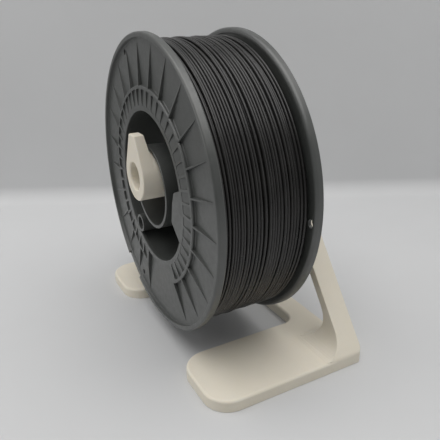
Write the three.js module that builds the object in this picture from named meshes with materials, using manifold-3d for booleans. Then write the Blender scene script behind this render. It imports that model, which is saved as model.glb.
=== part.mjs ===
// Spool holder stand: a printed U-shaped base and A-frame in one piece, with a hollow spindle whose
// upright nose keeps the spool on, shown carrying one full 1 kg filament spool.
// Millimetres. +Z is up, the spool's axis runs along X, and the nose end of the spindle faces -X.
// The origin is at floor level, in the middle of the assembly's footprint.

import * as THREE from "three";
import { mergeVertices } from "three/addons/utils/BufferGeometryUtils.js";
import Module from "manifold-3d";

const wasm = await Module();
wasm.setup();

// ---- driving dimensions ----

const GAP = 0.3; // clearance between pieces that touch

const SPOOL = { r: 100, width: 68.9, rim: 5.4, boreR: 26.4, hubR: 28.7, openingR: 51.3, drumR: 55 };
const AXIS_Z = 114.7; // height of the spool's axis

const NOSE_LEAD = 10.2; // from the spool's near face to the front of the nose
const BASE = { depth: 112.3, width: 209, thick: 8.45, footWidth: 55.1, barDepth: 17.1 };
const UPRIGHT_DEPTH = 15.6;
const DEPTH = 115.4; // whole assembly along X
const NOSE_X = -DEPTH / 2;
const BACK_X = DEPTH / 2;
const SPOOL_X0 = NOSE_X + NOSE_LEAD; // the spool's near face
const SPOOL_X1 = SPOOL_X0 + SPOOL.width;
const SPOOL_MID = (SPOOL_X0 + SPOOL_X1) / 2;

const FOOT_TIP_R = 17.2;
const INNER_CORNER_R = 9;
const HEEL_R = 1.5;
const LEG_THICK = 6.6; // across the leg, square to its slope
const WINDOW_CORNER_R = 16.5;
const FLARE_R = 15; // fillet between the upright's front face and the feet
const FRONT_X = BACK_X - UPRIGHT_DEPTH; // front face of the upright
const BAR_X = BACK_X - BASE.barDepth; // front face of the crossbar

const SPINDLE = { r: 16.7, boreR: 9.3, noseThick: 6.5, noseRoot: 8.6, noseTop: 28, noseTopWidth: 10 };
const SPINDLE_Z = AXIS_Z + SPOOL.boreR - SPINDLE.r - GAP; // the spool's bore rests on the spindle's top
const NOSE_BACK_X = NOSE_X + SPINDLE.noseRoot;
const HEAD_R = SPINDLE.r; // the upright's rounded head
const SPIGOT = { r: 12, flat: 9, length: 5.7 };

const BOLT = { r: 3, length: 25, headR: 5, headLength: 6, keyAcross: 5, keyDepth: 3 };
const WASHER = { r: 9, thick: 1.6 };
const NUT = { across: 10, thick: 5 };
const NUT_POCKET = 5.5;
const BOLT_TIP_X = BACK_X - 0.5;
const BOLT_SEAT_X = BOLT_TIP_X - BOLT.length; // underside of the bolt's head
const BORE_FLOOR_X = BOLT_SEAT_X + WASHER.thick + 2 * GAP;

const FLANGE = { recess: 2.2, thick: 4.6, edgeThick: 3, ringR: 67.5, lipR: 96.4, ease: 0.6 };
const RIBS = { count: 25, first: 7.7, tipR: 94, thick: 1.2 };
const LABEL_PAD = { from: 153, to: 194 }; // smooth sector, clockwise from the top
const SOCKET = { count: 3, ringR: 44.4, r: 6.6, boreR: 4.8, firstAngle: -53.5, recessed: 18 };
const PEG = { r: 4.5, reach: 10 };
const SPOKE = { halfAngle: 17, thick: 2.5 };
const DRUM_WALL = 3;
const WINDING_R = 96;
const TAB = { r: 36, from: 168, to: 208, thick: 2, sunk: 0.6 };
const LIP_GAP = { from: 205, to: 220 };
const TIE_HOLES = [
  { angle: -22, ringR: 92.5, r: 2 },
  { angle: 203, ringR: 89, r: 2.2 },
  { angle: 94.5, ringR: 94, r: 2 },
];

const SEGMENTS = 72; // round the spool
const PAST = 1; // how far a cutting tool runs past the face it cuts, and a joined piece into its neighbour

// ---- materials ----

const finish = (color, roughness, metalness = 0) =>
  new THREE.MeshStandardMaterial({ color, roughness, metalness });
const creamPlastic = () => finish(0xd6cebb, 0.7);
const greyPlastic = () => finish(0x555754, 0.5);
const filamentPlastic = () => finish(0x2b2a28, 0.45);
const steel = () => finish(0x9a9c9e, 0.35, 0.9);

// ---- solids ----

const radians = THREE.MathUtils.degToRad;

function solid(geometry) {
  const bare = geometry.clone();
  bare.deleteAttribute("normal");
  bare.deleteAttribute("uv");
  const merged = mergeVertices(bare, 1e-4);
  const vertProperties = new Float32Array(merged.attributes.position.array);
  const triVerts = new Uint32Array(merged.index.array);
  return new wasm.Manifold(new wasm.Mesh({ numProp: 3, vertProperties, triVerts }));
}

function part(name, body, material) {
  const mesh = body.getMesh();
  const geometry = new THREE.BufferGeometry();
  geometry.setAttribute("position", new THREE.Float32BufferAttribute(mesh.vertProperties, 3));
  geometry.setIndex(new THREE.Uint32BufferAttribute(mesh.triVerts, 1));
  geometry.computeVertexNormals();
  const piece = new THREE.Mesh(geometry, material);
  piece.name = name;
  return piece;
}

const joined = (bodies) => bodies.reduce((whole, body) => whole.add(body));
const cut = (body, tools) => tools.reduce((rest, tool) => rest.subtract(tool), body);

function extruded(shape, length, axes, curveSegments) {
  const geometry = new THREE.ExtrudeGeometry(shape, { depth: length, bevelEnabled: false, curveSegments });
  return geometry.applyMatrix4(new THREE.Matrix4().makeBasis(...axes));
}

// A shape drawn in plan, from z0 to z1.
function plate(shape, z0, z1, curveSegments = 10) {
  const axes = [new THREE.Vector3(1, 0, 0), new THREE.Vector3(0, 1, 0), new THREE.Vector3(0, 0, 1)];
  return solid(extruded(shape, z1 - z0, axes, curveSegments).translate(0, 0, z0));
}

// A shape drawn as seen along X, with Y across and Z up, from x0 to x1.
function alongX(shape, x0, x1, curveSegments = 10) {
  const axes = [new THREE.Vector3(0, 1, 0), new THREE.Vector3(0, 0, 1), new THREE.Vector3(1, 0, 0)];
  return solid(extruded(shape, x1 - x0, axes, curveSegments).translate(x0, 0, 0));
}

// A shape drawn as seen along Y, with X across and Z up, centred on Y = 0.
function acrossY(shape, width, curveSegments = 10) {
  const axes = [new THREE.Vector3(1, 0, 0), new THREE.Vector3(0, 0, 1), new THREE.Vector3(0, -1, 0)];
  return solid(extruded(shape, width, axes, curveSegments).translate(0, width / 2, 0));
}

function outline(points) {
  return new THREE.Shape(points.map(([a, b]) => new THREE.Vector2(a, b)));
}

// A cylinder along X, with its axis through (y, z).
function rod(r, x0, x1, y, z, segments = 32) {
  const geometry = new THREE.CylinderGeometry(r, r, x1 - x0, segments);
  return solid(geometry.rotateZ(-Math.PI / 2).translate((x0 + x1) / 2, y, z));
}

const hexRod = (across, x0, x1, z) => rod(across / Math.sqrt(3), x0, x1, 0, z, 6);

// A ring round the spool's axis from [radius, x] points, listed outwards first and then along +X.
function turned(section) {
  const points = [...section, section[0]].map(([r, x]) => new THREE.Vector2(r, x));
  return solid(new THREE.LatheGeometry(points, SEGMENTS).rotateZ(-Math.PI / 2));
}

const tubeSection = (r0, r1, x0, x1) => [[r0, x0], [r1, x0], [r1, x1], [r0, x1]];

const onSpoolAxis = (body) => body.translate([0, 0, AXIS_Z]);
const mirroredSpool = (body) => body.mirror([1, 0, 0]).translate([2 * SPOOL_MID, 0, 0]);

// A point on a circle round the spool's axis, from the angle up from +Y.
const polar = (r, degrees) => [r * Math.cos(radians(degrees)), r * Math.sin(radians(degrees))];
// The same for an angle clockwise from the top, as seen from the nose.
const clockwise = (degrees) => 90 + degrees;

function sector(r0, r1, fromDegrees, toDegrees, x0, x1) {
  const shape = new THREE.Shape();
  shape.absarc(0, 0, r1, radians(fromDegrees), radians(toDegrees), false);
  shape.absarc(0, 0, r0, radians(toDegrees), radians(fromDegrees), true);
  shape.closePath();
  return alongX(shape, x0, x1, 12);
}

// ---- the frame: base, legs and head in one print ----

function basePlan() {
  const tipX = BACK_X - BASE.depth;
  const outerY = BASE.width / 2;
  const innerY = outerY - BASE.footWidth;
  const plan = new THREE.Shape();
  const corner = (x, y, r, fromDegrees, turn) =>
    plan.absarc(x, y, r, radians(fromDegrees), radians(fromDegrees + turn), turn < 0);
  corner(tipX + FOOT_TIP_R, -outerY + FOOT_TIP_R, FOOT_TIP_R, 180, 90);
  corner(BACK_X - HEEL_R, -outerY + HEEL_R, HEEL_R, 270, 90);
  corner(BACK_X - HEEL_R, outerY - HEEL_R, HEEL_R, 0, 90);
  corner(tipX + FOOT_TIP_R, outerY - FOOT_TIP_R, FOOT_TIP_R, 90, 90);
  corner(tipX + FOOT_TIP_R, innerY + FOOT_TIP_R, FOOT_TIP_R, 180, 90);
  corner(BAR_X - INNER_CORNER_R, innerY - INNER_CORNER_R, INNER_CORNER_R, 90, -90);
  corner(BAR_X - INNER_CORNER_R, -innerY + INNER_CORNER_R, INNER_CORNER_R, 0, -90);
  corner(tipX + FOOT_TIP_R, -innerY - FOOT_TIP_R, FOOT_TIP_R, 90, 90);
  plan.closePath();
  return plan;
}

// The legs' outer faces start at the base's top edges and run on as tangents to the head.
function legAngle() {
  const run = BASE.width / 2;
  const rise = SPINDLE_Z - BASE.thick;
  return Math.atan2(run, rise) - Math.asin(HEAD_R / Math.hypot(run, rise));
}

function uprightFace() {
  const lean = legAngle();
  const outerY = BASE.width / 2;
  const face = new THREE.Shape();
  face.moveTo(outerY, 0);
  face.lineTo(outerY, BASE.thick);
  face.absarc(0, SPINDLE_Z, HEAD_R, lean, Math.PI - lean, false);
  face.lineTo(-outerY, BASE.thick);
  face.lineTo(-outerY, 0);
  face.closePath();
  return face;
}

// The window: a triangle above the crossbar with rounded lower corners, its top closed by the head.
function windowCut() {
  const lean = legAngle();
  const bottom = BASE.thick;
  const bottomHalf = BASE.width / 2 - LEG_THICK / Math.cos(lean);
  const apexZ = bottom + bottomHalf / Math.tan(lean);
  const cornerY = bottomHalf - WINDOW_CORNER_R * (1 + Math.sin(lean)) / Math.cos(lean);
  const shape = new THREE.Shape();
  shape.absarc(cornerY, bottom + WINDOW_CORNER_R, WINDOW_CORNER_R, -Math.PI / 2, lean, false);
  shape.lineTo(0, apexZ);
  shape.absarc(-cornerY, bottom + WINDOW_CORNER_R, WINDOW_CORNER_R, Math.PI - lean, 1.5 * Math.PI, false);
  shape.closePath();
  const x0 = FRONT_X - FLARE_R;
  const opening = alongX(shape, x0 - PAST, BACK_X + PAST);
  return opening.subtract(rod(HEAD_R, x0 - 2 * PAST, BACK_X + 2 * PAST, 0, SPINDLE_Z, 48));
}

// The upright's side view, with the fillet that spreads its front onto the feet.
function uprightSide() {
  const top = SPINDLE_Z + HEAD_R + PAST;
  const side = new THREE.Shape();
  side.moveTo(FRONT_X - FLARE_R, 0);
  side.lineTo(FRONT_X - FLARE_R, BASE.thick);
  side.absarc(FRONT_X - FLARE_R, BASE.thick + FLARE_R, FLARE_R, -Math.PI / 2, 0, false);
  side.lineTo(FRONT_X, top);
  side.lineTo(BACK_X, top);
  side.lineTo(BACK_X, 0);
  side.closePath();
  return side;
}

// The spigot's round section with a flat on top, so that the nose can't turn.
function spigotSection(r, flat) {
  const flatAngle = Math.asin(flat / r);
  const section = new THREE.Shape();
  section.absarc(0, SPINDLE_Z, r, Math.PI - flatAngle, 2 * Math.PI + flatAngle, false);
  section.closePath();
  return section;
}

function frame() {
  const upright = alongX(uprightFace(), FRONT_X - FLARE_R, BACK_X, 24)
    .intersect(acrossY(uprightSide(), BASE.width))
    .intersect(plate(basePlan(), 0, SPINDLE_Z + HEAD_R))
    .subtract(windowCut());
  const socketShape = spigotSection(SPIGOT.r + GAP, SPIGOT.flat + GAP);
  const socket = alongX(socketShape, FRONT_X - PAST, FRONT_X + SPIGOT.length + GAP);
  const boltHole = rod(BOLT.r + GAP, FRONT_X, BACK_X + PAST, 0, SPINDLE_Z, 24);
  const nutPocket = hexRod(NUT.across + 2 * GAP, BACK_X - NUT_POCKET, BACK_X + PAST, SPINDLE_Z);
  return cut(plate(basePlan(), 0, BASE.thick).add(upright), [socket, boltHole, nutPocket]);
}

// ---- the spindle and what fixes it ----

function noseSection() {
  const half = SPINDLE.noseTopWidth / 2;
  const reach = Math.hypot(half, SPINDLE.noseTop);
  const tangent = Math.atan2(SPINDLE.noseTop, half) - Math.acos(SPINDLE.r / reach);
  const section = new THREE.Shape();
  section.moveTo(half, SPINDLE_Z + SPINDLE.noseTop);
  section.lineTo(-half, SPINDLE_Z + SPINDLE.noseTop);
  section.absarc(0, SPINDLE_Z, SPINDLE.r, Math.PI - tangent, 2 * Math.PI + tangent, false);
  section.closePath();
  return section;
}

// The nose's side view: its back leans away from the front, so that it is thickest at the tube.
function noseSide() {
  const top = SPINDLE_Z + SPINDLE.noseTop;
  const low = SPINDLE_Z - SPINDLE.r;
  return outline([
    [NOSE_X, low],
    [NOSE_BACK_X, low],
    [NOSE_BACK_X, SPINDLE_Z + SPINDLE.r / 2],
    [NOSE_X + SPINDLE.noseThick, top],
    [NOSE_X, top],
  ]);
}

// The spindle is one print. It is made in three solids so that collision follows its bore.
function spindleNose() {
  const nose = alongX(noseSection(), NOSE_X, NOSE_BACK_X, 40)
    .intersect(acrossY(noseSide(), 4 * SPINDLE.r));
  return nose.subtract(rod(SPINDLE.boreR, NOSE_X - PAST, NOSE_BACK_X + PAST, 0, SPINDLE_Z));
}

function spindleTube() {
  const x0 = NOSE_BACK_X + GAP;
  const x1 = BORE_FLOOR_X - GAP;
  const bore = rod(SPINDLE.boreR, x0 - PAST, x1 + PAST, 0, SPINDLE_Z);
  return rod(SPINDLE.r, x0, x1, 0, SPINDLE_Z).subtract(bore);
}

function spindleTail() {
  const end = rod(SPINDLE.r, BORE_FLOOR_X, FRONT_X - GAP, 0, SPINDLE_Z);
  const spigotEnd = FRONT_X + SPIGOT.length;
  const spigot = alongX(spigotSection(SPIGOT.r, SPIGOT.flat), FRONT_X - GAP - PAST, spigotEnd);
  const boltHole = rod(BOLT.r + GAP, BORE_FLOOR_X - PAST, spigotEnd + PAST, 0, SPINDLE_Z, 24);
  return end.add(spigot).subtract(boltHole);
}

function bolt() {
  const headX = BOLT_SEAT_X - BOLT.headLength;
  const shank = rod(BOLT.r, BOLT_SEAT_X - PAST, BOLT_TIP_X, 0, SPINDLE_Z, 24);
  const head = rod(BOLT.headR, headX, BOLT_SEAT_X, 0, SPINDLE_Z, 24);
  const key = hexRod(BOLT.keyAcross, headX - PAST, headX + BOLT.keyDepth, SPINDLE_Z);
  return head.add(shank).subtract(key);
}

function washer() {
  const x0 = BOLT_SEAT_X + GAP;
  const hole = rod(BOLT.r + GAP, x0 - PAST, x0 + WASHER.thick + PAST, 0, SPINDLE_Z, 24);
  return rod(WASHER.r, x0, x0 + WASHER.thick, 0, SPINDLE_Z).subtract(hole);
}

function nut() {
  const x0 = BACK_X - NUT_POCKET + GAP;
  const hole = rod(BOLT.r + GAP, x0 - PAST, x0 + NUT.thick + PAST, 0, SPINDLE_Z, 24);
  return hexRod(NUT.across, x0, x0 + NUT.thick, SPINDLE_Z).subtract(hole);
}

// ---- the spool: two mouldings, each a flange, half a drum and half a hub ----

function flangeDisc() {
  const { recess, thick, edgeThick, ringR, lipR, ease } = FLANGE;
  return turned([
    [SPOOL.openingR, 0],
    [ringR, 0],
    [ringR, recess],
    [lipR, recess],
    [lipR, 0],
    [SPOOL.r - ease, 0],
    [SPOOL.r, ease],
    [SPOOL.r, SPOOL.rim - ease],
    [SPOOL.r - ease, SPOOL.rim],
    [lipR, SPOOL.rim],
    [lipR, thick],
    [SPOOL.drumR + GAP, thick],
    [SPOOL.drumR + GAP, edgeThick],
    [SPOOL.openingR, edgeThick],
  ]).translate([SPOOL_X0, 0, 0]);
}

// A thin gusset from the raised ring down to the disc, at an angle clockwise from the top.
function rib(degrees) {
  const inside = FLANGE.ringR - PAST;
  const discX = SPOOL_X0 + FLANGE.recess;
  const foot = discX + PAST / 2;
  const side = outline([[SPOOL_X0, inside], [foot, inside], [foot, RIBS.tipR], [discX, RIBS.tipR]]);
  return acrossY(side, RIBS.thick).rotate([clockwise(degrees) - 90, 0, 0]);
}

function ribs() {
  const angles = Array.from({ length: RIBS.count }, (_, k) => RIBS.first + (k * 360) / RIBS.count);
  return angles.filter((a) => a < LABEL_PAD.from || a > LABEL_PAD.to).map(rib);
}

function tieHole({ angle, ringR, r }) {
  const [y, z] = polar(ringR, clockwise(angle));
  return rod(r, SPOOL_X0 - PAST, SPOOL_X0 + SPOOL.rim, y, z, 16);
}

// Takes a flange's front away down to its disc, between two radii and over a sector.
function loweredSector(r0, r1, { from, to }) {
  return sector(r0, r1, clockwise(from), clockwise(to), SPOOL_X0 - PAST, SPOOL_X0 + FLANGE.recess);
}

function flange() {
  const lipGap = loweredSector(FLANGE.lipR - PAST, SPOOL.r + PAST, LIP_GAP);
  const labelPad = loweredSector(SPOOL.openingR + DRUM_WALL, FLANGE.ringR + PAST, LABEL_PAD);
  return cut(joined([flangeDisc(), ...ribs()]), [lipGap, labelPad, ...TIE_HOLES.map(tieHole)]);
}

function nearFlange() {
  const x0 = SPOOL_X0 + TAB.sunk;
  return flange().add(sector(TAB.r, SPOOL.openingR + PAST, TAB.from, TAB.to, x0, x0 + TAB.thick));
}

function drumHalf() {
  const x0 = SPOOL_X0 + FLANGE.edgeThick + GAP;
  return turned(tubeSection(SPOOL.drumR - DRUM_WALL, SPOOL.drumR, x0, SPOOL_MID - GAP / 2));
}

const socketAngles = Array.from(
  { length: SOCKET.count },
  (_, k) => SOCKET.firstAngle + (k * 360) / SOCKET.count,
);

// Half the hub: its tube, open at both ends, and three spokes at the spool's middle.
function hubHalf() {
  const x1 = SPOOL_MID - GAP / 2;
  const tube = rod(SPOOL.hubR, SPOOL_X0, x1, 0, 0, 64);
  const bore = rod(SPOOL.boreR, SPOOL_X0 - PAST, x1 + PAST, 0, 0, 64);
  const rimR = SPOOL.drumR - DRUM_WALL - GAP;
  const spoke = (a) =>
    sector(SPOOL.hubR - PAST, rimR, a - SPOKE.halfAngle, a + SPOKE.halfAngle, x1 - SPOKE.thick, x1);
  return joined([tube, ...socketAngles.map(spoke)]).subtract(bore);
}

// The near half's sockets: the first one reaches the spool's face, the others start deeper in.
function nearHub() {
  const x1 = SPOOL_MID - GAP / 2;
  const startX = (k) => (k === 0 ? SPOOL_X0 : SPOOL_X0 + SOCKET.recessed);
  const at = socketAngles.map((a) => polar(SOCKET.ringR, a));
  const sockets = at.map(([y, z], k) => rod(SOCKET.r, startX(k), x1, y, z));
  const bores = at.map(([y, z]) => rod(SOCKET.boreR, SPOOL_X0 - PAST, x1 + PAST, y, z));
  return cut(joined([hubHalf(), ...sockets]), bores);
}

// The far half's pegs, which push into the sockets.
function farHub() {
  const pegs = socketAngles.map((a) => {
    const [y, z] = polar(SOCKET.ringR, a);
    return rod(PEG.r, SPOOL_MID - PEG.reach, SPOOL_MID + SPOKE.thick, y, z);
  });
  return joined([mirroredSpool(hubHalf()), ...pegs]);
}

function winding() {
  const x0 = SPOOL_X0 + FLANGE.thick + GAP;
  const x1 = SPOOL_X1 - FLANGE.thick - GAP;
  return turned(tubeSection(SPOOL.drumR + GAP, WINDING_R, x0, x1));
}

// ---- assembly ----

const stand = new THREE.Group();
stand.add(part("frame", frame(), creamPlastic()));
stand.add(part("spindle_nose", spindleNose(), creamPlastic()));
stand.add(part("spindle_tube", spindleTube(), creamPlastic()));
stand.add(part("spindle_tail", spindleTail(), creamPlastic()));
stand.add(part("spindle_bolt", bolt(), steel()));
stand.add(part("bolt_washer", washer(), steel()));
stand.add(part("bolt_nut", nut(), steel()));

const spool = new THREE.Group();
spool.add(part("near_flange", onSpoolAxis(nearFlange()), greyPlastic()));
spool.add(part("near_drum", onSpoolAxis(drumHalf()), greyPlastic()));
spool.add(part("near_hub", onSpoolAxis(nearHub()), greyPlastic()));
spool.add(part("far_flange", onSpoolAxis(mirroredSpool(flange())), greyPlastic()));
spool.add(part("far_drum", onSpoolAxis(mirroredSpool(drumHalf())), greyPlastic()));
spool.add(part("far_hub", onSpoolAxis(farHub()), greyPlastic()));
spool.add(part("filament_winding", onSpoolAxis(winding()), filamentPlastic()));

const holder = new THREE.Group();
holder.add(stand, spool);

export default holder;
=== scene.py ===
import math
import random

import bmesh
import bpy
from mathutils import Matrix, Vector


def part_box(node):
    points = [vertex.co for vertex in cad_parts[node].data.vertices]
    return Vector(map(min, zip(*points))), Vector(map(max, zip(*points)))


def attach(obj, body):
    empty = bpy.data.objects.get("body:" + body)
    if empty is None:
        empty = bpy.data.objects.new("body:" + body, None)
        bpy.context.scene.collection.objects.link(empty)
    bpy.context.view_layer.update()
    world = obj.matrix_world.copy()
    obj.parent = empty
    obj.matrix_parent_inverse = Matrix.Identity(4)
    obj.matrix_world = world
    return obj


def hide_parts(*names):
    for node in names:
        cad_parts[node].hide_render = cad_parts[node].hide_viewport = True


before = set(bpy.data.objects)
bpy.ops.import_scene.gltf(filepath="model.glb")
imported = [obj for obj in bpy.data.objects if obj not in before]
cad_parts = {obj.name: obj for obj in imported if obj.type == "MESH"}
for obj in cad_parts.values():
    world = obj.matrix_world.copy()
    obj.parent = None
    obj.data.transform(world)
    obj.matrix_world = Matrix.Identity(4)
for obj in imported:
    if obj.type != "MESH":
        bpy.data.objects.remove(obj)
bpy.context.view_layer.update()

# Looks of the spool holder stand and its spool. Meshes are drawn in millimetres and scaled to metres
# when they are handed over. Angles are in degrees; those on the spool's faces run clockwise from the
# top, seen from the nose. A name in capitals that ends in R is a radius.

MM = 0.001


def box_mm(node):
    low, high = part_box(node)
    return low / MM, high / MM


near_low, near_high = box_mm("near_flange")
far_high = box_mm("far_flange")[1]
frame_high = box_mm("frame")[1]
nose_low, nose_high = box_mm("spindle_nose")
tail_low, tail_high = box_mm("spindle_tail")
nut_low, nut_high = box_mm("bolt_nut")
washer_high = box_mm("bolt_washer")[1]

SMOOTH_ANGLE = 24
ROUND = 240  # sides of a full turn
ARC_STEP = 8  # degrees in one step of a rounded corner
EDGE_STEP = 15  # and in one step of a prism's rounded edge
SMALLEST_R = 0.01
PAST = 1.0  # how far a cutter reaches beyond what it cuts
CLEAR = 0.3  # room between pieces that fit together

# the spool
SPOOL_R = (near_high.y - near_low.y) / 2
AXIS_Z = (near_high.z + near_low.z) / 2
SPOOL_X0 = near_low.x
SPOOL_X1 = far_high.x
HALF_WIDTH = (SPOOL_X1 - SPOOL_X0) / 2
SPOOL_MID = (SPOOL_X0 + SPOOL_X1) / 2
PARTING = 0.15  # half the gap between the two halves
BORE_R = 26.4
HUB_R = 28.7
OPENING_R = 51.3
COLLAR_THICK = 3.0  # where the face ring reaches inwards past the drum's wall
DRUM_R = 55.0
DRUM_WALL = 3.0
RING_R = 67.5
DISC_X = 2.4  # how far the disc's face lies behind the ring's
FLANGE_THICK = 4.6
LIP_R = 96.4
LIP_SLOPE = 0.2  # half the width of the rim's sloping inner side
RIM_THICK = 5.4

# the stand
BACK_X = frame_high.x
BASE_HALF = frame_high.y
BASE_DEPTH = 112.3
BASE_THICK = 8.45
BASE_TOP_R = 1.8
BASE_BOTTOM_R = 0.4
FOOT_WIDTH = 55.1
FOOT_TIP_R = 17.2
BAR_DEPTH = 17.1  # of the crossbar between the feet
INNER_CORNER_R = 9
HEEL_R = 3.0
UPRIGHT_DEPTH = 15.6
FRONT_X = BACK_X - UPRIGHT_DEPTH
FLARE_R = 15
LEG_THICK = 6.6
RIDGE_R = 5.0  # where a leg's outer face meets the base's side
WINDOW_CORNER_R = 16.5
SPINDLE_R = (tail_high.z - tail_low.z) / 2
SPINDLE_Z = nose_low.z + SPINDLE_R
SPINDLE_BORE_R = 9.3
SPIGOT_R = 12
SPIGOT_FLAT = 9  # height of the spigot's flat above the spindle's line
BOLT_HOLE_R = 3.3


# ---- outlines ----

def rounded(corners, inset=0.0):
    """A closed outline's points, with its corners (a, b, radius) rounded.

    An anticlockwise outline moves inwards by inset.
    """
    points = []
    for k, (a, b, radius) in enumerate(corners):
        here = Vector((a, b))
        following = corners[(k + 1) % len(corners)]
        before = (here - Vector(corners[k - 1][:2])).normalized()
        after = (Vector(following[:2]) - here).normalized()
        turn = math.atan2(before.x * after.y - before.y * after.x, before.dot(after))
        side = math.copysign(1.0, turn)
        left_before = Vector((-before.y, before.x))
        left_after = Vector((-after.y, after.x))
        corner = here + (left_before + left_after) * inset / (1 + before.dot(after))
        if not radius:
            points.append(corner)
            continue
        r = max(radius - side * inset, SMALLEST_R)
        reach = r * math.tan(abs(turn) / 2)
        centre = corner - before * reach + left_before * r * side
        steps = max(1, math.ceil(math.degrees(abs(turn)) / ARC_STEP))
        for step in range(steps + 1):
            swing = turn * step / steps
            points.append(centre + Matrix.Rotation(swing, 2) @ (-left_before * r * side))
    return points


def turned_round(centre, radius, start, end, step=4):
    """Points along an arc, in degrees anticlockwise from the outline's first axis."""
    steps = max(2, math.ceil(abs(end - start) / step))
    angles = [math.radians(start + (end - start) * k / steps) for k in range(steps + 1)]
    return [Vector((centre[0] + radius * math.cos(a), centre[1] + radius * math.sin(a))) for a in angles]


def clockwise(degrees):
    """The usual angle, anticlockwise from +Y, of one counted clockwise from the top."""
    return 90 + degrees


def on_face(radius, degrees):
    angle = math.radians(clockwise(degrees))
    return Vector((radius * math.cos(angle), radius * math.sin(angle)))


def sector(inner_r, outer_r, start, end):
    outer = turned_round((0, 0), outer_r, clockwise(start), clockwise(end))
    return outer + turned_round((0, 0), inner_r, clockwise(end), clockwise(start))


# ---- meshes ----

def new_object(name, vertices, faces):
    mesh = bpy.data.meshes.new(name)
    mesh.from_pydata([tuple(v) for v in vertices], [], faces)
    work = bmesh.new()
    work.from_mesh(mesh)
    bmesh.ops.recalc_face_normals(work, faces=work.faces)
    work.to_mesh(mesh)
    work.free()
    made = bpy.data.objects.new(name, mesh)
    bpy.context.scene.collection.objects.link(made)
    return made


def closed_rings(name, rings, ends=True):
    """A mesh through rings of equally many points; with ends, the first and last ring are capped."""
    count = len(rings[0])
    vertices = [v for ring in rings for v in ring]
    pairs = range(len(rings) - 1) if ends else range(len(rings))
    faces = []
    for k in pairs:
        low, high = k * count, (k + 1) % len(rings) * count
        for j in range(count):
            after = (j + 1) % count
            faces.append((low + j, low + after, high + after, high + j))
    if ends:
        faces.append(tuple(range(count)))
        faces.append(tuple(range(len(vertices) - count, len(vertices))))
    return new_object(name, vertices, faces)


def along_x(point, x):
    return Vector((x, point[0], point[1]))


def along_y(point, y):
    return Vector((point[0], y, point[1]))


def along_z(point, z):
    return Vector((point[0], point[1], z))


def prism(name, outline, place, low, high):
    return closed_rings(name, [[place(p, low) for p in outline], [place(p, high) for p in outline]])


def eased(low, high, low_r, high_r):
    """Levels and insets that round off a prism's two ends."""
    quarter = [math.radians(a) for a in range(0, 91, EDGE_STEP)]
    levels = [(low + low_r * (1 - math.sin(a)), low_r * (1 - math.cos(a))) for a in reversed(quarter)]
    levels += [(high - high_r * (1 - math.sin(a)), high_r * (1 - math.cos(a))) for a in quarter]
    return levels


def eased_prism(name, corners, place, low, high, low_r, high_r):
    rings = []
    for level, inset in eased(low, high, low_r, high_r):
        rings.append([place(p, level) for p in rounded(corners, inset)])
    return closed_rings(name, rings)


def lathe(name, section, sides=ROUND, centre=(0, 0)):
    """A ring from a closed section of (radius, x), turned about a line along X through centre."""
    rings = []
    for k in range(sides):
        angle = math.tau * k / sides
        out = Vector((math.cos(angle), math.sin(angle)))
        rings.append([(x, centre[0] + r * out.x, centre[1] + r * out.y) for r, x in section])
    return closed_rings(name, rings, ends=False)


def rod(name, radius, low, high, centre=(0, 0), sides=64):
    return prism(name, turned_round(centre, radius, 0, 360, 360 / sides)[:-1], along_x, low, high)


def use_result(thing):
    """Replaces the mesh by what the modifiers make of it."""
    result = thing.evaluated_get(bpy.context.evaluated_depsgraph_get())
    mesh = bpy.data.meshes.new_from_object(result)
    thing.modifiers.clear()
    thing.data = mesh
    return thing


def combine(thing, tools, operation):
    for tool in tools:
        step = thing.modifiers.new(operation, "BOOLEAN")
        step.operation = operation
        step.solver = "MANIFOLD"
        step.object = tool
    use_result(thing)
    for tool in tools:
        bpy.data.objects.remove(tool)
    return thing


def drop_slivers(thing):
    """Merges points that nearly meet, and faces that lie in one plane."""
    nearly_met = 0.02
    nearly_flat = math.radians(0.3)
    work = bmesh.new()
    work.from_mesh(thing.data)
    bmesh.ops.remove_doubles(work, verts=work.verts, dist=nearly_met)
    bmesh.ops.dissolve_limit(work, verts=work.verts, edges=work.edges, angle_limit=nearly_flat)
    work.to_mesh(thing.data)
    work.free()


def join_meshes(name, things):
    """One object of several that don't touch, so that one boolean handles them all."""
    work = bmesh.new()
    for thing in things:
        work.from_mesh(thing.data)
        bpy.data.objects.remove(thing)
    mesh = bpy.data.meshes.new(name)
    work.to_mesh(mesh)
    work.free()
    joined = bpy.data.objects.new(name, mesh)
    bpy.context.scene.collection.objects.link(joined)
    return joined


def hand_over(thing, name, body, material, replaced):
    """Scales a finished piece to metres, shades it smooth and ties it to the frame."""
    thing.name = name
    thing.data.name = name
    thing.data.transform(Matrix.Scale(MM, 4))
    thing.data.materials.clear()
    thing.data.materials.append(material)
    thing.data.polygons.foreach_set("material_index", [0] * len(thing.data.polygons))
    thing.data.shade_smooth()
    thing.data.set_sharp_from_angle(angle=math.radians(SMOOTH_ANGLE))
    flat_faces = thing.modifiers.new("flat_faces", "WEIGHTED_NORMAL")
    flat_faces.keep_sharp = True
    use_result(thing)
    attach(thing, body)
    if replaced:
        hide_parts(*replaced)
    return thing


# ---- materials ----

# Lengths are in metres here, and a noise's scale is in cells to the metre.

def add_node(tree, kind, inputs):
    node = tree.nodes.new(kind)
    for key, value in inputs.items():
        node.inputs[key].default_value = value
    return node


def spread(tree, source, low, high):
    """A value or colour that goes from low to high over the middle of a noise's range."""
    node = tree.nodes.new("ShaderNodeValToRGB")
    for element, position, value in zip(node.color_ramp.elements, (0.3, 0.7), (low, high)):
        element.position = position
        element.color = (*value, 1) if isinstance(value, tuple) else (value, value, value, 1)
    tree.links.new(source, node.inputs[0])
    return node.outputs["Color"]


def noise(tree, place, scale, detail, roughness=0.55):
    node = add_node(tree, "ShaderNodeTexNoise", {"Scale": scale, "Detail": detail, "Roughness": roughness})
    tree.links.new(place, node.inputs["Vector"])
    return node.outputs["Fac"]


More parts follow.
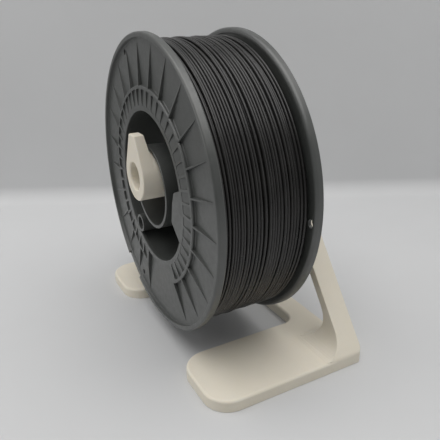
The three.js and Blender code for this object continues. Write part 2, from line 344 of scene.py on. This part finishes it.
def bump(tree, height, distance, strength, under=None):
    """Relief from height, on top of the relief under it."""
    node = add_node(tree, "ShaderNodeBump", {"Distance": distance, "Strength": strength})
    tree.links.new(height, node.inputs["Height"])
    if under is not None:
        tree.links.new(under, node.inputs["Normal"])
    return node.outputs["Normal"]


def start_material(name, specular):
    material = bpy.data.materials.new(name)
    material.use_nodes = True
    tree = material.node_tree
    shader = tree.nodes["Principled BSDF"]
    shader.inputs["Specular IOR Level"].default_value = specular
    place = tree.nodes.new("ShaderNodeTexCoord").outputs["Object"]
    return material, tree, shader, place


def cream_print():
    material, tree, shader, place = start_material("cream_print_looks", specular=0.4)
    shader.inputs["Subsurface Weight"].default_value = 0.12
    shader.inputs["Subsurface Radius"].default_value = (1.0, 0.75, 0.45)
    shader.inputs["Subsurface Scale"].default_value = 0.0012
    clouds = noise(tree, place, scale=28, detail=5)
    color = spread(tree, clouds, (0.74, 0.69, 0.58), (0.78, 0.725, 0.615))
    tree.links.new(color, shader.inputs["Base Color"])
    grain = noise(tree, place, scale=2600, detail=3)
    tree.links.new(spread(tree, grain, 0.5, 0.64), shader.inputs["Roughness"])
    swell = noise(tree, place, scale=160, detail=3)
    coarse = bump(tree, swell, distance=0.00012, strength=0.5)
    fine = bump(tree, grain, distance=0.00003, strength=0.6, under=coarse)
    tree.links.new(fine, shader.inputs["Normal"])
    return material


def spool_plastic():
    material, tree, shader, place = start_material("spool_plastic_looks", specular=0.9)
    clouds = noise(tree, place, scale=45, detail=6, roughness=0.6)
    color = spread(tree, clouds, (0.052, 0.055, 0.052), (0.066, 0.070, 0.066))
    tree.links.new(color, shader.inputs["Base Color"])
    scuffs = noise(tree, place, scale=260, detail=5, roughness=0.65)
    tree.links.new(spread(tree, scuffs, 0.32, 0.46), shader.inputs["Roughness"])
    grain = noise(tree, place, scale=3200, detail=2)
    coarse = bump(tree, scuffs, distance=0.00006, strength=0.5)
    fine = bump(tree, grain, distance=0.00002, strength=0.6, under=coarse)
    tree.links.new(fine, shader.inputs["Normal"])
    return material


def filament_plastic():
    material, tree, shader, place = start_material("filament_looks", specular=0.5)
    clouds = noise(tree, place, scale=90, detail=4)
    color = spread(tree, clouds, (0.010, 0.0096, 0.009), (0.018, 0.0173, 0.016))
    tree.links.new(color, shader.inputs["Base Color"])
    scuffs = noise(tree, place, scale=420, detail=4)
    tree.links.new(spread(tree, scuffs, 0.26, 0.4), shader.inputs["Roughness"])
    tree.links.new(bump(tree, scuffs, distance=0.00003, strength=0.5), shader.inputs["Normal"])
    return material


def zinc_steel():
    material, tree, shader, place = start_material("bolt_steel_looks", specular=0.5)
    shader.inputs["Metallic"].default_value = 1.0
    clouds = noise(tree, place, scale=300, detail=5)
    color = spread(tree, clouds, (0.50, 0.51, 0.52), (0.64, 0.645, 0.65))
    tree.links.new(color, shader.inputs["Base Color"])
    grain = noise(tree, place, scale=2400, detail=3)
    tree.links.new(spread(tree, grain, 0.24, 0.42), shader.inputs["Roughness"])
    tree.links.new(bump(tree, grain, distance=0.00002, strength=0.5), shader.inputs["Normal"])
    return material


def studio_surface():
    """The sweep's paper, which is clear from behind so that it never hides the object."""
    material, tree, shader, place = start_material("studio_surface", specular=0.3)
    shader.inputs["Roughness"].default_value = 0.75
    clouds = noise(tree, place, scale=9, detail=3)
    color = spread(tree, clouds, (0.575, 0.58, 0.585), (0.59, 0.595, 0.60))
    tree.links.new(color, shader.inputs["Base Color"])
    clear = tree.nodes.new("ShaderNodeBsdfTransparent")
    choice = tree.nodes.new("ShaderNodeMixShader")
    behind = tree.nodes.new("ShaderNodeNewGeometry").outputs["Backfacing"]
    tree.links.new(behind, choice.inputs[0])
    tree.links.new(shader.outputs[0], choice.inputs[1])
    tree.links.new(clear.outputs[0], choice.inputs[2])
    tree.links.new(choice.outputs[0], tree.nodes["Material Output"].inputs[0])
    return material


# ---- the stand ----

SUNK = 0.06  # how far below the base's top the upright's fillets start
ROOT_Z = 0.5  # where the upright starts, inside the base
HAIR = 0.01  # keeps the upright's faces off the base's
UPRIGHT_EDGE_R = 0.6
BLUNT = 25  # an edge that turns by no more than this stays as it is
SHARP = 70  # and from this angle on, it is rounded in full
HEEL_ZONE = 5  # edges this near the heels stay as they are
ROUNDING_START = 4  # height above the base where rounding starts
ROUNDING_FADE = 6  # and over which it grows to the full amount
BLEND_LENGTH = 6  # over which the upright's sides come out to the base's
BLEND_R = 25
NUT_ROOM = 0.35


def base_corners():
    tip = BACK_X - BASE_DEPTH
    bar = BACK_X - BAR_DEPTH
    inner = BASE_HALF - FOOT_WIDTH
    return [
        (tip, -BASE_HALF, FOOT_TIP_R),
        (BACK_X, -BASE_HALF, HEEL_R),
        (BACK_X, BASE_HALF, HEEL_R),
        (tip, BASE_HALF, FOOT_TIP_R),
        (tip, inner, FOOT_TIP_R),
        (bar, inner, INNER_CORNER_R),
        (bar, -inner, INNER_CORNER_R),
        (tip, -inner, FOOT_TIP_R),
    ]


def leg_lean():
    """How far the legs' outer faces lean from upright, as tangents from the base's edge to the head."""
    rise = SPINDLE_Z - BASE_THICK
    return math.atan2(BASE_HALF, rise) - math.asin(SPINDLE_R / math.hypot(BASE_HALF, rise))


def upright_face():
    """The upright seen from the front: two legs whose outer faces are tangents to the round head."""
    apex = BASE_THICK + BASE_HALF / math.tan(leg_lean())
    return rounded([
        (BASE_HALF, ROOT_Z, 0),
        (BASE_HALF, BASE_THICK, RIDGE_R),
        (0, apex, SPINDLE_R),
        (-BASE_HALF, BASE_THICK, RIDGE_R),
        (-BASE_HALF, ROOT_Z, 0),
    ])


def upright_plan():
    """The upright seen from above. Its sides come out of the base's rounded edge over a short length."""
    front = FRONT_X - FLARE_R
    side = BASE_HALF - HAIR
    back = BACK_X - HAIR
    bar = BACK_X - BAR_DEPTH + BASE_TOP_R
    inner = BASE_HALF - FOOT_WIDTH + BASE_TOP_R
    return rounded([
        (front, -side + BASE_TOP_R, 0),
        (front + BLEND_LENGTH, -side, BLEND_R),
        (back, -side, HEEL_R),
        (back, side, HEEL_R),
        (front + BLEND_LENGTH, side, BLEND_R),
        (front, side - BASE_TOP_R, 0),
        (front, inner, 0),
        (bar, inner, INNER_CORNER_R),
        (bar, -inner, INNER_CORNER_R),
        (front, -inner, 0),
    ])


def upright_side():
    """The upright seen from its side: its front face curves out into a flare over the feet."""
    top = SPINDLE_Z + SPINDLE_R + PAST
    foot = BASE_THICK - SUNK
    flare = turned_round((FRONT_X - FLARE_R, foot + FLARE_R), FLARE_R, -90, 0, step=6)
    back = [(FRONT_X, top), (BACK_X, top), (BACK_X, ROOT_Z), (FRONT_X - FLARE_R, ROOT_Z)]
    return flare + [Vector(p) for p in back]


def window_corners():
    """The window between the legs, before the round head takes its top off."""
    lean = leg_lean()
    half = BASE_HALF - LEG_THICK / math.cos(lean)
    apex = BASE_THICK + half / math.tan(lean)
    foot = BASE_THICK - SUNK
    return [(-half, foot, WINDOW_CORNER_R), (half, foot, WINDOW_CORNER_R), (0, apex, 0)]


def edge_weight(edge):
    """How fully an edge of the upright is rounded: more where it is sharper, and not near the base."""
    places = [v.co for v in edge.verts]
    if all(abs(p.y) > BASE_HALF - HEEL_ZONE and p.x > BACK_X - HEEL_ZONE for p in places):
        return 0
    angle = math.degrees(edge.calc_face_angle(0))
    sharpness = min(max((angle - BLUNT) / (SHARP - BLUNT), 0), 1)
    height = max(p.z for p in places) - BASE_THICK
    return sharpness * min(max((height - ROUNDING_START) / ROUNDING_FADE, 0), 1)


def soften_upright(upright):
    work = bmesh.new()
    work.from_mesh(upright.data)
    weights = work.edges.layers.float.new("bevel_weight_edge")
    for edge in work.edges:
        edge[weights] = edge_weight(edge)
    work.to_mesh(upright.data)
    work.free()
    bevel = upright.modifiers.new("soften", "BEVEL")
    bevel.width = UPRIGHT_EDGE_R
    bevel.segments = 3
    bevel.limit_method = "WEIGHT"
    bevel.use_clamp_overlap = False
    return use_result(upright)


def upright_print():
    """The A-frame: what its outlines from the front, the side and above have in common, less its window."""
    front = FRONT_X - FLARE_R
    upright = prism("upright", upright_face(), along_x, front, BACK_X)
    side = prism("side", upright_side(), along_y, -BASE_HALF - PAST, BASE_HALF + PAST)
    plan = prism("plan", upright_plan(), along_z, 0, SPINDLE_Z + 2 * SPINDLE_R)
    window = prism("window", rounded(window_corners()), along_x, front - PAST, BACK_X + PAST)
    head = rod("head", SPINDLE_R, front - 2 * PAST, BACK_X + 2 * PAST, (0, SPINDLE_Z), sides=96)
    combine(window, [head], "DIFFERENCE")
    combine(upright, [side, plan], "INTERSECT")
    combine(upright, [window], "DIFFERENCE")
    return soften_upright(upright)


def below_flat(flat, low, high):
    """A block up to the height of a flat above the spindle's line, wider than the spigot."""
    reach = SPIGOT_R + PAST
    bottom, top = SPINDLE_Z - reach, SPINDLE_Z + flat
    corners = [(-reach, bottom), (reach, bottom), (reach, top), (-reach, top)]
    return prism("below_flat", corners, along_x, low, high)


def stand_frame():
    """Base and upright in one print, with the hollows for the spindle's spigot, its bolt and the nut."""
    base = eased_prism("base", base_corners(), along_z, 0, BASE_THICK, BASE_BOTTOM_R, BASE_TOP_R)
    combine(base, [upright_print()], "UNION")
    drop_slivers(base)
    line = (0, SPINDLE_Z)
    bolt_hole = rod("bolt_hole", BOLT_HOLE_R, tail_low.x, BACK_X + PAST, line, sides=48)
    nut_r = (nut_high.z - nut_low.z) / 2 + NUT_ROOM
    nut_pocket = rod("nut_pocket", nut_r, nut_low.x - CLEAR, BACK_X + PAST, line, sides=6)
    socket = rod("socket", SPIGOT_R + CLEAR, FRONT_X - PAST, tail_high.x + CLEAR, line, sides=72)
    block = below_flat(SPIGOT_FLAT + CLEAR, FRONT_X - 2 * PAST, tail_high.x + PAST)
    combine(socket, [block], "INTERSECT")
    combine(base, [socket, bolt_hole], "DIFFERENCE")
    return combine(base, [nut_pocket], "DIFFERENCE")


NOSE_TOP_WIDTH = 10.0
NOSE_TOP_R = 1.2
NOSE_THICK = 6.5
NOSE_EDGE_R = 0.9
NOSE_FILLET_R = 9
NOSE_FILLET_DROP = 4  # how far below the tube's top the fillet's corner lies
TUBE_END_R = 0.5
BORE_LIP = 0.8
CENTRE_R = 0.01  # as near to the middle as a turned section may come


def nose_corners():
    """The nose seen from the front: a tall wedge whose sides run down to the tube."""
    half = NOSE_TOP_WIDTH / 2
    top = nose_high.z
    drop = top - SPINDLE_Z
    reach = math.hypot(half, drop)
    tangent = math.degrees(math.atan2(drop, half) - math.acos(SPINDLE_R / reach))
    ring = turned_round((0, SPINDLE_Z), SPINDLE_R, 180 - tangent, 360 + tangent, step=5)
    return [(p.x, p.y, 0) for p in ring] + [(half, top, NOSE_TOP_R), (-half, top, NOSE_TOP_R)]


def nose_blank():
    """The nose, with its back leaning forwards from a fillet on top of the tube."""
    x0 = nose_low.x
    root = nose_high.x
    bottom, top = nose_low.z - PAST, nose_high.z + PAST
    fillet_z = SPINDLE_Z + SPINDLE_R - NOSE_FILLET_DROP
    nose = eased_prism("nose", nose_corners(), along_x, x0, root + 0.5, NOSE_EDGE_R, 0)
    outline = [
        (x0 - PAST, bottom, 0),
        (root, bottom, 0),
        (root, fillet_z, NOSE_FILLET_R),
        (x0 + NOSE_THICK, top, 0),
        (x0 - PAST, top, 0),
    ]
    side = prism("nose_side", rounded(outline), along_y, -2 * SPINDLE_R, 2 * SPINDLE_R)
    return combine(nose, [side], "INTERSECT")


def spindle_blank():
    """Tube and spigot, still solid: a turned ring, filled up. The tube starts inside the nose."""
    ring_r, core_r = 4, 6
    line = (0, SPINDLE_Z)
    start = nose_low.x + 3
    end = FRONT_X - CLEAR
    section = [(SPINDLE_R, start, 0), (SPINDLE_R, end, TUBE_END_R), (ring_r, end, 0), (ring_r, start, 0)]
    tube = lathe("tube", rounded(section), sides=144, centre=line)
    core = rod("core", core_r, start, end, line, sides=48)
    spigot = rod("spigot", SPIGOT_R, end - PAST, tail_high.x, line, sides=72)
    combine(spigot, [below_flat(SPIGOT_FLAT, end - 2 * PAST, tail_high.x + PAST)], "INTERSECT")
    return combine(tube, [core, spigot], "UNION")


def spindle():
    """Nose, tube and spigot in one print, with a bore down to the bolt's washer."""
    x0 = nose_low.x
    floor = washer_high.x + CLEAR
    nose = combine(nose_blank(), [spindle_blank()], "UNION")
    bore_section = [
        (CENTRE_R, x0 - PAST, 0),
        (SPINDLE_BORE_R + 1.5, x0 - PAST, 0),
        (SPINDLE_BORE_R + BORE_LIP, x0, 0),
        (SPINDLE_BORE_R, x0 + BORE_LIP, BORE_LIP),
        (SPINDLE_BORE_R, floor, 0),
        (CENTRE_R, floor, 0),
    ]
    bore = lathe("bore", rounded(bore_section), sides=96, centre=(0, SPINDLE_Z))
    bolt_hole = rod("bolt_hole", BOLT_HOLE_R, floor - PAST, tail_high.x + PAST, (0, SPINDLE_Z), sides=48)
    return combine(nose, [bore, bolt_hole], "DIFFERENCE")


# ---- the spool ----

GUSSETS = 25
FIRST_GUSSET = 7.7
GUSSET_THICK = 1.2
GUSSET_END_R = 93.5
POCKETS = 45
POCKET_LOW_R = 54.6
POCKET_HIGH_R = 65.2
POCKET_RIB = 1.6  # what stands between two pockets
POCKET_SHALLOW = 0.2
POCKET_DEEP = 1.3
LABEL = (152.5, 194)  # the angles of a plain place in the face ring
LABEL_LOW_R = 54.4
LIP_GAP = (205, 220)  # the angles of a shallow gap in the rim's lip
LIP_GAP_DEPTH = 1.6
LIP_GAP_LOW_R = 95.5
NEAR_RIM_ROUND = (1.5, 1.2)  # of the rim's outer edge, on its face and on its inside
FAR_RIM_ROUND = (0.3, 2.4)
SMALL_HOLES = ((93, -23, 1.9), (89, 203.5, 2.0))  # distance from the axis, angle and radius
NEAR_STRAND_HOLE = (96.3, 92, 1.2)
FAR_STRAND_HOLE = (94.8, 94.3, 2.8)
SOCKET_RING_R = 44.4
SOCKET_ANGLES = (216.5, 336.5, 96.5)
SOCKET_R = 6.6
SOCKET_BORE_R = 4.8
SOCKET_STARTS = (0, 18, 18)  # how far behind the face each one opens
PEG_R = 4.5
PEG_LENGTH = 10
SPOKE_HALF_ANGLE = 17
SPOKE_THICK = 2.5


def flange_section(face_round, back_round):
    """Half the spool's turned shape, as (radius, x, rounding): ring, disc, rim, flange's inside, drum."""
    middle = HALF_WIDTH - PARTING
    inner = DRUM_R - DRUM_WALL
    return rounded([
        (OPENING_R, 0, 0.5),
        (RING_R, 0, 0.9),
        (RING_R, DISC_X, 0.6),
        (LIP_R - LIP_SLOPE, DISC_X, 0.5),
        (LIP_R + LIP_SLOPE, 0, 0.5),
        (SPOOL_R, 0, face_round),
        (SPOOL_R, RIM_THICK, back_round),
        (LIP_R, RIM_THICK, 0.3),
        (LIP_R, FLANGE_THICK, 0.3),
        (DRUM_R, FLANGE_THICK, 1.0),
        (DRUM_R, middle, 0.2),
        (inner, middle, 0.2),
        (inner, COLLAR_THICK, 0),
        (OPENING_R, COLLAR_THICK, 0.4),
    ])


def pocket(degrees):
    """The cutter for one of the ramped pockets in the face ring: it gets deeper outwards."""
    inner_round, outer_round = 0.8, 1.4

    def half_width(radius):
        return radius * math.tan(math.pi / POCKETS) - POCKET_RIB / 2

    corners = [
        (half_width(POCKET_LOW_R), POCKET_LOW_R, inner_round),
        (half_width(POCKET_HIGH_R), POCKET_HIGH_R, outer_round),
        (-half_width(POCKET_HIGH_R), POCKET_HIGH_R, outer_round),
        (-half_width(POCKET_LOW_R), POCKET_LOW_R, inner_round),
    ]
    turn = Matrix.Rotation(math.radians(degrees), 2)
    top, floor = [], []
    for point in rounded(corners):
        share = (point.y - POCKET_LOW_R) / (POCKET_HIGH_R - POCKET_LOW_R)
        depth = POCKET_SHALLOW + (POCKET_DEEP - POCKET_SHALLOW) * share
        y, z = turn @ point
        top.append(Vector((-PAST, y, z)))
        floor.append(Vector((depth, y, z)))
    return closed_rings("pocket", [top, floor])


def gusset(degrees):
    """A thin fin from the face ring down to the disc."""
    root_r = RING_R - 1.2
    top = 0.02
    buried = DISC_X + 0.6
    side = [
        (root_r, top),
        (RING_R, top),
        (GUSSET_END_R, DISC_X - 0.1),
        (GUSSET_END_R + 0.5, buried),
        (root_r, buried),
    ]
    turn = Matrix.Rotation(math.radians(degrees), 2)
    rings = []
    for across in (-GUSSET_THICK / 2, GUSSET_THICK / 2):
        ring = []
        for radius, x in side:
            y, z = turn @ Vector((across, radius))
            ring.append(Vector((x, y, z)))
        rings.append(ring)
    return closed_rings("gusset", rings)


def clear_of_label(degrees, margin):
    return not LABEL[0] - margin < degrees % 360 < LABEL[1] + margin


def face_hole(distance, degrees, radius):
    at = on_face(distance, degrees)
    return rod("hole", radius, -PAST, RIM_THICK + PAST, (at.x, at.y), sides=32)


def hub_half(sockets):
    """Half the hub: its tube, three spokes near the spool's middle, and sockets or pegs."""
    middle = HALF_WIDTH - PARTING
    tube = lathe("hub", rounded([
        (BORE_R, 0, 0.4),
        (HUB_R, 0, 0.4),
        (HUB_R, middle, 0.2),
        (BORE_R, middle, 0.2),
    ]), sides=144)
    for angle, start in zip(SOCKET_ANGLES, SOCKET_STARTS):
        start_angle, end_angle = angle - SPOKE_HALF_ANGLE, angle + SPOKE_HALF_ANGLE
        outline = sector(HUB_R - PAST, DRUM_R - PAST, start_angle, end_angle)
        combine(tube, [prism("spoke", outline, along_x, middle - SPOKE_THICK, middle)], "UNION")
        at = tuple(on_face(SOCKET_RING_R, angle))
        if sockets:
            socket_bore = rod("socket_bore", SOCKET_BORE_R, -PAST, middle + PAST, at, sides=48)
            combine(tube, [rod("socket", SOCKET_R, start, middle, at)], "UNION")
            combine(tube, [socket_bore], "DIFFERENCE")
        else:
            peg = rod("peg", PEG_R, middle - 2 * PAST, middle + PEG_LENGTH - PARTING, at, sides=48)
            combine(tube, [peg], "UNION")
    bore = rod("bore", BORE_R, -PAST, middle + PAST, sides=144)
    return combine(tube, [bore], "DIFFERENCE")


def finger_tab():
    """A flat tab that reaches into the opening from its edge."""
    front, back = 0.5, 2.6
    corners = [
        (-50, 11.5, 0),
        (-40.5, 7.5, 3),
        (-37.4, 0, 4),
        (-34.5, -13.4, 2),
        (-46, -24, 0),
        (-50, -22, 0),
    ]
    return eased_prism("tab", corners, along_x, front, back, 0.3, 0.1)


def cut_pockets_and_label(half):
    label = prism("label", sector(LABEL_LOW_R, RING_R + PAST, *LABEL), along_x, -PAST, DISC_X)
    angles = [k * 360 / POCKETS for k in range(POCKETS)]
    pockets = [pocket(a) for a in angles if clear_of_label(a, margin=4)]
    combine(half, [label, join_meshes("pockets", pockets)], "DIFFERENCE")


def add_gussets(half):
    angles = [FIRST_GUSSET + k * 360 / GUSSETS for k in range(GUSSETS)]
    gussets = [gusset(a) for a in angles if clear_of_label(a, margin=0)]
    combine(half, [join_meshes("gussets", gussets)], "UNION")


def cut_rim(half, near):
    """The gap in the lip, and the small holes that a strand's end is put through."""
    outline = sector(LIP_GAP_LOW_R, SPOOL_R + 2 * PAST, *LIP_GAP)
    gap = prism("lip_gap", outline, along_x, -PAST, LIP_GAP_DEPTH)
    combine(half, [gap], "DIFFERENCE")
    holes = SMALL_HOLES + (NEAR_STRAND_HOLE if near else FAR_STRAND_HOLE,)
    combine(half, [face_hole(*hole) for hole in holes], "DIFFERENCE")


def spool_half(near):
    """One moulding of the spool, with its face at x = 0 and its middle towards +X."""
    half = lathe("half", flange_section(*(NEAR_RIM_ROUND if near else FAR_RIM_ROUND)))
    cut_pockets_and_label(half)
    add_gussets(half)
    cut_rim(half, near)
    combine(half, [hub_half(sockets=near)], "UNION")
    if near:
        combine(half, [finger_tab()], "UNION")
    return half


def place_spool_half(half, near):
    """Moves a half to its own flange; the far half is turned round by mirroring it."""
    if near:
        half.data.transform(Matrix.Translation((SPOOL_X0, 0, AXIS_Z)))
        return half
    half.data.transform(Matrix.Translation((SPOOL_X1, 0, AXIS_Z)) @ Matrix.Scale(-1, 4, (1, 0, 0)))
    half.data.flip_normals()
    return half


# ---- the filament ----

WINDING_R = 96.0
STRAND_R = 0.875
STEPS_PER_TURN = 120
STRAND_SIDES = 10
OVER_DEPTH = 0.4  # from the winding's outside to the top layer's strands
UNDER_DEPTH = 2.3
CORE_DEPTH = 3.6
CROWN = 0.6  # how much lower the winding is at its ends
END_MARGIN = 2.2  # from the core's ends to the outermost strands
SWAY = 0.6  # the share of a strand's drift that shows as a sideways wave
RIPPLE = 0.12


def strand_centres(turns_x, radius, seed):
    """The line of a wound strand: nearly level turns that drift, with places where one rides higher."""
    random.seed(seed)
    phases = [random.uniform(0, math.tau) for _ in turns_x]
    drift = [random.uniform(0.1, 0.4) for _ in turns_x]
    lift = [random.uniform(-0.25, 0.3) for _ in turns_x]
    points = []
    for k in range(len(turns_x) - 1):
        for step in range(STEPS_PER_TURN):
            share = step / STEPS_PER_TURN
            angle = math.tau * share
            ease = share * share * (3 - 2 * share)
            x = turns_x[k] + (turns_x[k + 1] - turns_x[k]) * ease
            wave = drift[k] * (1 - ease) + drift[k + 1] * ease
            phase = phases[k] * (1 - ease) + phases[k + 1] * ease
            x += wave * math.sin(angle * 2 + phase) * SWAY
            height = lift[k] * (1 - ease) + lift[k + 1] * ease
            r = radius + height + RIPPLE * math.sin(3 * angle + phase)
            r -= CROWN * (abs(x - SPOOL_MID) / HALF_WIDTH) ** 3
            points.append((x, r, angle))
    return points


def strand(name, centres):
    """A round strand along centres, each given as x, distance from the axis and angle from the top."""
    rings = []
    for x, r, angle in centres:
        out = Vector((0, -math.sin(angle), math.cos(angle)))
        middle = Vector((x, 0, AXIS_Z)) + out * r
        ring = []
        for k in range(STRAND_SIDES):
            around = math.tau * k / STRAND_SIDES
            ring.append(middle + (out * math.cos(around) + Vector((math.sin(around), 0, 0))) * STRAND_R)
        rings.append(ring)
    return closed_rings(name, rings)


def irregular_turns(start, end, pitches, seed):
    """Places along X from start to end, spaced by pitches picked at random."""
    random.seed(seed)
    places = [start]
    while places[-1] < end:
        places.append(places[-1] + random.choice(pitches) * random.uniform(0.97, 1.05))
    stretch = (end - start) / (places[-1] - start)
    return [start + (p - start) * stretch for p in places]


def winding():
    """The filament: a core, and on it a close layer and a looser one on top."""
    inner = SPOOL_X0 + FLANGE_THICK + CLEAR
    outer = SPOOL_X1 - FLANGE_THICK - CLEAR
    core_r = WINDING_R - CORE_DEPTH
    end_r = core_r - 1.5
    core = lathe("core", rounded([
        (DRUM_R + CLEAR, inner, 0),
        (end_r, inner, 1),
        (core_r, inner + 2, 1),
        (core_r, outer - 2, 1),
        (end_r, outer, 1),
        (DRUM_R + CLEAR, outer, 0),
    ]), centre=(0, AXIS_Z))
    start, end = inner + END_MARGIN, outer - END_MARGIN
    under = irregular_turns(start + 0.2, end - 0.2, pitches=(1.78, 1.82, 1.9), seed=3)
    over = irregular_turns(start, end, pitches=(1.8, 1.85, 2.0, 2.4, 3.0), seed=7)
    under_r = WINDING_R - STRAND_R - UNDER_DEPTH
    over_r = WINDING_R - STRAND_R - OVER_DEPTH
    low = strand("under", strand_centres(under, under_r, seed=5))
    high = strand("over", strand_centres(over, over_r, seed=11))
    return core, low, high


# ---- building ----

cream = cream_print()
plastic = spool_plastic()
dark = filament_plastic()
steel = zinc_steel()

hand_over(stand_frame(), "stand_frame_print", "stand", cream, ["frame"])
hand_over(spindle(), "spindle_print", "stand", cream,
          ["spindle_nose", "spindle_tube", "spindle_tail"])
near_half = place_spool_half(spool_half(near=True), near=True)
far_half = place_spool_half(spool_half(near=False), near=False)
hand_over(near_half, "spool_near_half", "spool", plastic,
          ["near_flange", "near_drum", "near_hub"])
hand_over(far_half, "spool_far_half", "spool", plastic,
          ["far_flange", "far_drum", "far_hub"])
winding_core, winding_under, winding_over = winding()
hand_over(winding_core, "filament_core", "spool", dark, ["filament_winding"])
hand_over(winding_under, "filament_under_layer", "spool", dark, [])
hand_over(winding_over, "filament_top_layer", "spool", dark, [])

for node in ("spindle_bolt", "bolt_washer", "bolt_nut"):
    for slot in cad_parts[node].material_slots:
        slot.material = steel


# ---- camera, light and floor ----

CAMERA_AZIMUTH = -27.57
CAMERA_ELEVATION = 22.35
CAMERA_ROLL = -1.37
CAMERA_DISTANCE = 390
LENS = 42.49
SENSOR_WIDTH = 36
AIM_FORWARD = 18.79  # from the spool's middle to the point that the camera looks at
AIM_DROP = 35.5
LAMP_COLOR = (1.0, 0.99, 0.98)
SKY_COLOR = (0.97, 0.985, 1.0)


def camera_place():
    azimuth, elevation, roll = (math.radians(a) for a in (CAMERA_AZIMUTH, CAMERA_ELEVATION, CAMERA_ROLL))
    back = Vector((
        math.sin(azimuth) * math.cos(elevation),
        -math.cos(azimuth) * math.cos(elevation),
        math.sin(elevation),
    ))
    right = (-back).cross(Vector((0, 0, 1))).normalized()
    up = right.cross(-back)
    tilted_right = right * math.cos(roll) + up * math.sin(roll)
    tilted_up = up * math.cos(roll) - right * math.sin(roll)
    target = Vector((SPOOL_MID + AIM_FORWARD, 0, AXIS_Z - AIM_DROP))
    place = Matrix((tilted_right, tilted_up, back)).transposed().to_4x4()
    place.translation = (target + back * CAMERA_DISTANCE) * MM
    return place


def add_camera():
    data = bpy.data.cameras.new("camera")
    data.lens = LENS
    data.sensor_width = SENSOR_WIDTH
    data.clip_start = 0.01
    camera = bpy.data.objects.new("camera", data)
    bpy.context.scene.collection.objects.link(camera)
    camera.matrix_world = camera_place()
    bpy.context.scene.camera = camera


def add_light(name, place, target, size, power):
    data = bpy.data.lights.new(name, "AREA")
    data.shape = "RECTANGLE"
    data.size, data.size_y = size
    data.energy = power
    data.color = LAMP_COLOR
    light = bpy.data.objects.new(name, data)
    bpy.context.scene.collection.objects.link(light)
    light.location = place
    light.rotation_euler = (Vector(target) - Vector(place)).to_track_quat("-Z", "Y").to_euler()


def add_sweep(material):
    """A seamless floor that curves up into a wall behind the object, square to the camera, in metres."""
    heading = math.radians(CAMERA_AZIMUTH)
    away = Vector((-math.sin(heading), math.cos(heading), 0))
    across = Vector((away.y, -away.x, 0))
    left, right = -0.34, 1.6
    near, wall = -1.2, 0.275
    bend_r = 0.02
    height = 1.3
    profile = [(near, 0), (-0.3, 0), (0, 0), (0.15, 0)]
    profile += [tuple(p) for p in turned_round((wall - bend_r, bend_r), bend_r, -90, 0, step=6)]
    profile.append((wall, height))
    vertices, faces = [], []
    for reach, z in profile:
        for side in (left, right):
            point = away * reach + across * side
            vertices.append((point.x, point.y, z))
    for k in range(len(profile) - 1):
        faces.append((2 * k, 2 * k + 1, 2 * k + 3, 2 * k + 2))
    mesh = bpy.data.meshes.new("sweep")
    mesh.from_pydata(vertices, [], faces)
    mesh.shade_smooth()
    mesh.materials.append(material)
    sweep = bpy.data.objects.new("sweep", mesh)
    bpy.context.scene.collection.objects.link(sweep)


def set_world(strength, seen_strength):
    """Even light from all round, with a paler grey where the camera looks past the sweep."""
    world = bpy.data.worlds.new("studio")
    world.use_nodes = True
    tree = world.node_tree
    ambient = tree.nodes["Background"]
    ambient.inputs["Color"].default_value = (*SKY_COLOR, 1)
    ambient.inputs["Strength"].default_value = strength
    seen = add_node(tree, "ShaderNodeBackground", {"Color": (*SKY_COLOR, 1), "Strength": seen_strength})
    choice = tree.nodes.new("ShaderNodeMixShader")
    tree.links.new(tree.nodes.new("ShaderNodeLightPath").outputs["Is Camera Ray"], choice.inputs[0])
    tree.links.new(ambient.outputs[0], choice.inputs[1])
    tree.links.new(seen.outputs[0], choice.inputs[2])
    tree.links.new(choice.outputs[0], tree.nodes["World Output"].inputs[0])
    bpy.context.scene.world = world


add_camera()
add_sweep(studio_surface())
set_world(strength=0.19, seen_strength=0.51)
add_light("overhead", place=(-0.05, -0.1, 1.1), target=(-0.05, -0.1, 0), size=(1.5, 1.5), power=16.8)
add_light("left_side", place=(-0.8, 0.42, 0.35), target=(0, 0, 0.08), size=(0.7, 0.6), power=2.0)
add_light("right_side", place=(0.8, -0.42, 0.35), target=(0, 0, 0.08), size=(0.7, 0.6), power=0.6)
bpy.context.scene.view_settings.view_transform = "Standard"
